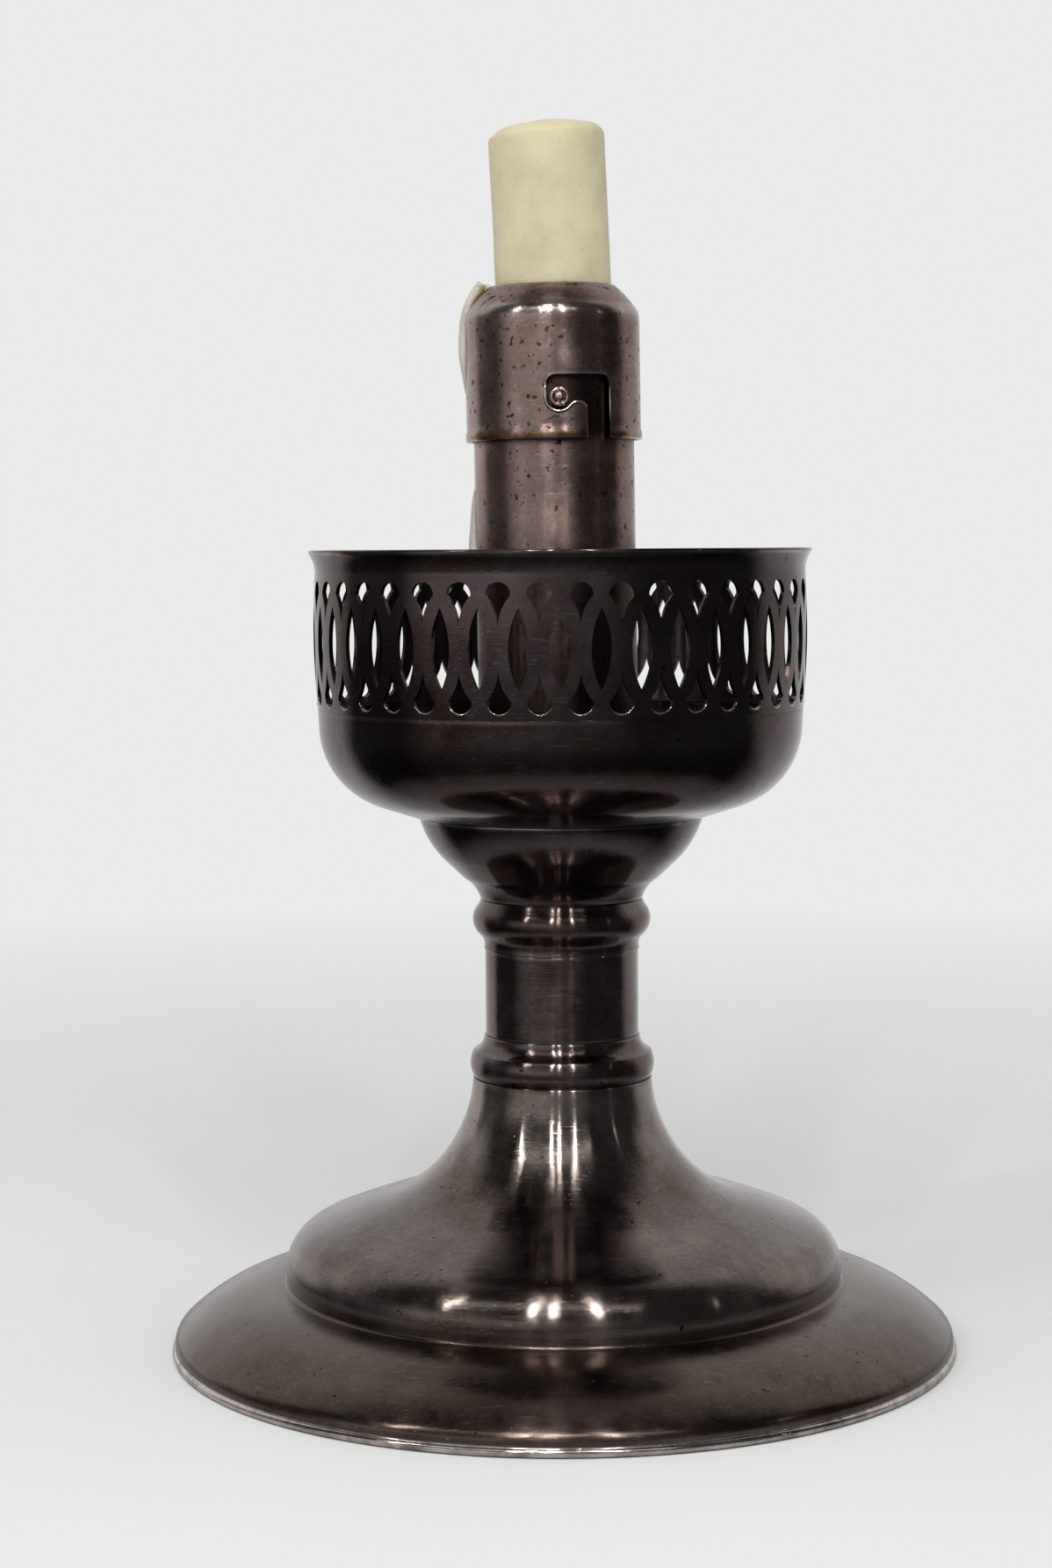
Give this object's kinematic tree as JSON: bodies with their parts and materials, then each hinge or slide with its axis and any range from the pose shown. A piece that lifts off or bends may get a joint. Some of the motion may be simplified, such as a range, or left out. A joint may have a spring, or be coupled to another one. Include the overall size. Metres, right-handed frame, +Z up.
{
  "type": "candlestick",
  "caption": "Metal candlestick with a stepped round foot, trumpet neck, pierced gallery bowl and a sprung candle tube under a bayonet cap, holding a wax candle stub.",
  "frame": {"origin": "middle of the foot, on the table", "axes": "+Z up the stand; -Y is the front, where the open J slot is seen; +X to the right"},
  "size_m": [0.15, 0.15, 0.232],
  "materials": {
    "tarnished_plate": "dark, half-polished tarnished silver plate",
    "steel": "plain steel, dull",
    "plain_metal": "plain brass, dull",
    "pin_brass": "worn, dark",
    "candle_wax": "smooth wax",
    "wick_cotton": "burnt cotton",
    "ballast_filling": "rough cast filling",
    "felt": "felt"
  },
  "bodies": {
    "stand": {"foot_shell": "tarnished_plate", "foot_ballast": "ballast_filling", "base_plate": "plain_metal", "felt_pad": "felt", "lower_collar": "tarnished_plate", "stem_tube": "tarnished_plate", "upper_collar": "tarnished_plate", "bell": "tarnished_plate", "bowl": "tarnished_plate", "gallery_band": "tarnished_plate", "tie_rod": "steel", "rod_washer": "steel", "rod_nut": "steel"},
    "tube": {"candle_tube": "tarnished_plate", "tube_plug": "plain_metal", "bayonet_pins": "pin_brass", "candle_spring": "steel", "tube_wax_run": "candle_wax"},
    "follower": {"follower_cup": "plain_metal"},
    "candle": {"candle": "candle_wax", "candle_wick": "wick_cotton"},
    "cap": {"bayonet_cap": "tarnished_plate", "cap_wax_run": "candle_wax"}
  },
  "joints": [
    {"name": "tube_lift", "type": "slide", "parent": "stand", "child": "tube", "axis": [-0.0113, 0, 0.9999], "range_m": [0, 0.06]},
    {"name": "follower_slide", "type": "slide", "parent": "tube", "child": "follower", "axis": [-0.0113, 0, 0.9999], "range_m": [-0.06, 0], "stiffness_N_per_m": 120, "springref_m": 0.04, "deforming": ["candle_spring"]},
    {"name": "candle_lift", "type": "slide", "parent": "follower", "child": "candle", "axis": [-0.0113, 0, 0.9999], "range_m": [0, 0.01]},
    {"name": "cap_turn", "type": "hinge", "parent": "tube", "child": "cap", "pos_m": [0, 0, 0.0883], "axis": [-0.0113, 0, 0.9999], "range_deg": [-26.2, 0]}
  ]
}
